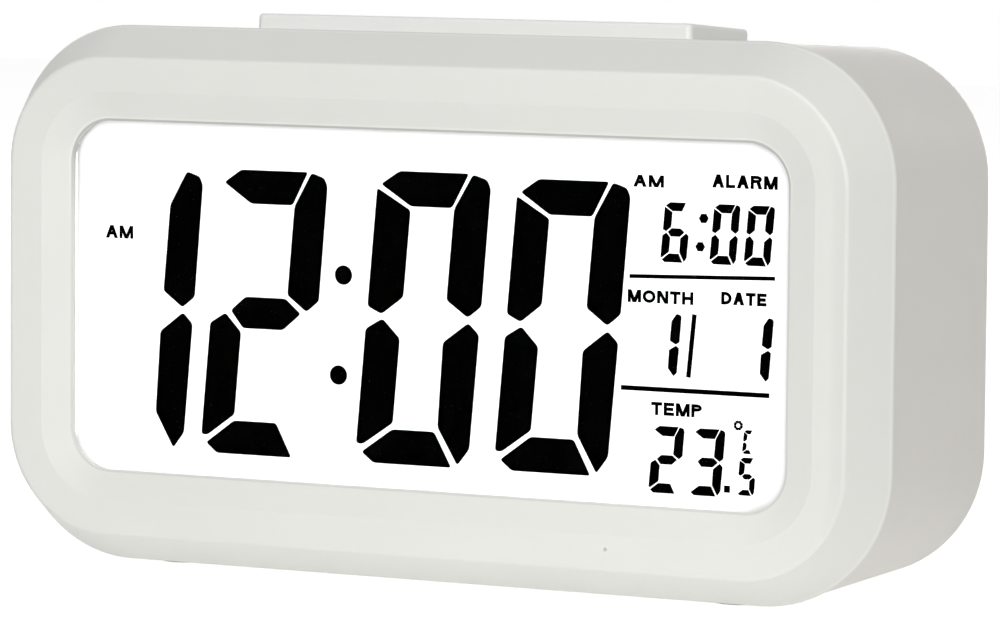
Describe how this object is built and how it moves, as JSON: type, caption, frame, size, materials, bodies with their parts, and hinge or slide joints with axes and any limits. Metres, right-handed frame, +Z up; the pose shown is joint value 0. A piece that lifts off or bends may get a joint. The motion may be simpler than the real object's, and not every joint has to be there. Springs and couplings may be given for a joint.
{
  "type": "digital alarm clock",
  "caption": "Rounded white table clock with a bevelled front frame round a wide liquid-crystal display, a snooze bar on top, and keys, a slide switch and a hinged battery door behind.",
  "frame": {"origin": "centre of the footprint, on the plane the rubber feet stand on", "axes": "+X along the display's width to the right seen from the front, +Y from the display to the back, +Z up"},
  "size_m": [0.135, 0.046, 0.0778],
  "materials": {
    "case": "fine satin, moulded",
    "clear": "polished",
    "display_glass": "polished",
    "film": "smooth film",
    "holder": "moulded",
    "silicone": "matt",
    "board": "solder mask over glass fibre",
    "component": "moulded",
    "led": "clear lens",
    "plated": "nickel plated",
    "steel": "zinc plated",
    "brass": "rolled",
    "ceramic": "fired",
    "foot": "matt",
    "cell_jacket": "shrunk film",
    "red_lead": "insulated wire",
    "black_lead": "insulated wire",
    "ribbon": "flat cable"
  },
  "bodies": {
    "case": {"front_frame": "case", "rear_housing": "case", "display_window": "clear", "lcd_front_polariser": "film", "lcd_front_glass": "display_glass", "lcd_rear_glass": "display_glass", "lcd_rear_polariser": "film", "backlight_diffuser": "film", "light_guide": "clear", "reflector_sheet": "film", "backlight_leds": "led", "led_board": "board", "lcd_holder": "holder", "elastomer_connector": "silicone", "main_board": "board", "controller_chip": "component", "quartz_crystal": "plated", "capacitors": "component", "chip_resistors": "component", "lead_sockets": "holder", "light_sensor": "component", "rubber_feet": "foot", "battery_cell_1": "cell_jacket", "battery_cell_2": "cell_jacket", "battery_cell_3": "cell_jacket", "battery_bridges": "plated", "battery_terminals": "plated", "key_board": "board", "key_switches": "component", "slide_switch": "plated", "thermistor": "component", "snooze_switches": "component", "snooze_board": "board", "housing_screws": "steel", "board_screws": "steel", "buzzer_disc": "brass", "buzzer_ceramic": "ceramic", "battery_lead_positive": "red_lead", "battery_lead_negative": "black_lead", "buzzer_leads": "black_lead", "key_ribbon": "ribbon", "snooze_leads": "ribbon"},
    "snooze": {"snooze_bar": "case", "snooze_plungers": "component"},
    "mode_button": {"mode_key": "case", "mode_plunger": "component"},
    "set_button": {"set_key": "case", "set_plunger": "component"},
    "up_button": {"up_key": "case", "up_plunger": "component"},
    "down_button": {"down_key": "case", "down_plunger": "component"},
    "alarm_button": {"alarm_key": "case", "alarm_plunger": "component"},
    "sensor_slide": {"sensor_knob": "case", "sensor_lever": "component"},
    "door": {"battery_door": "case"}
  },
  "joints": [
    {"name": "snooze_press", "type": "slide", "parent": "case", "child": "snooze", "axis": [0, -0.068, -0.9977], "range_m": [0, 0.0006], "stiffness_N_per_m": 2500},
    {"name": "mode_press", "type": "slide", "parent": "case", "child": "mode_button", "axis": [0, -1, 0], "range_m": [0, 0.0005], "stiffness_N_per_m": 2500},
    {"name": "set_press", "type": "slide", "parent": "case", "child": "set_button", "axis": [0, -1, 0], "range_m": [0, 0.0005], "stiffness_N_per_m": 2500},
    {"name": "up_press", "type": "slide", "parent": "case", "child": "up_button", "axis": [0, -1, 0], "range_m": [0, 0.0005], "stiffness_N_per_m": 2500},
    {"name": "down_press", "type": "slide", "parent": "case", "child": "down_button", "axis": [0, -1, 0], "range_m": [0, 0.0005], "stiffness_N_per_m": 2500},
    {"name": "alarm_press", "type": "slide", "parent": "case", "child": "alarm_button", "axis": [0, -1, 0], "range_m": [0, 0.0005], "stiffness_N_per_m": 2500},
    {"name": "sensor_switch", "type": "slide", "parent": "case", "child": "sensor_slide", "axis": [1, 0, 0], "range_m": [0, 0.002]},
    {"name": "battery_door_hinge", "type": "hinge", "parent": "case", "child": "door", "pos_m": [-0.0166, 0.022, 0.02825], "axis": [0, 0, 1], "range_deg": [0, 50]}
  ]
}
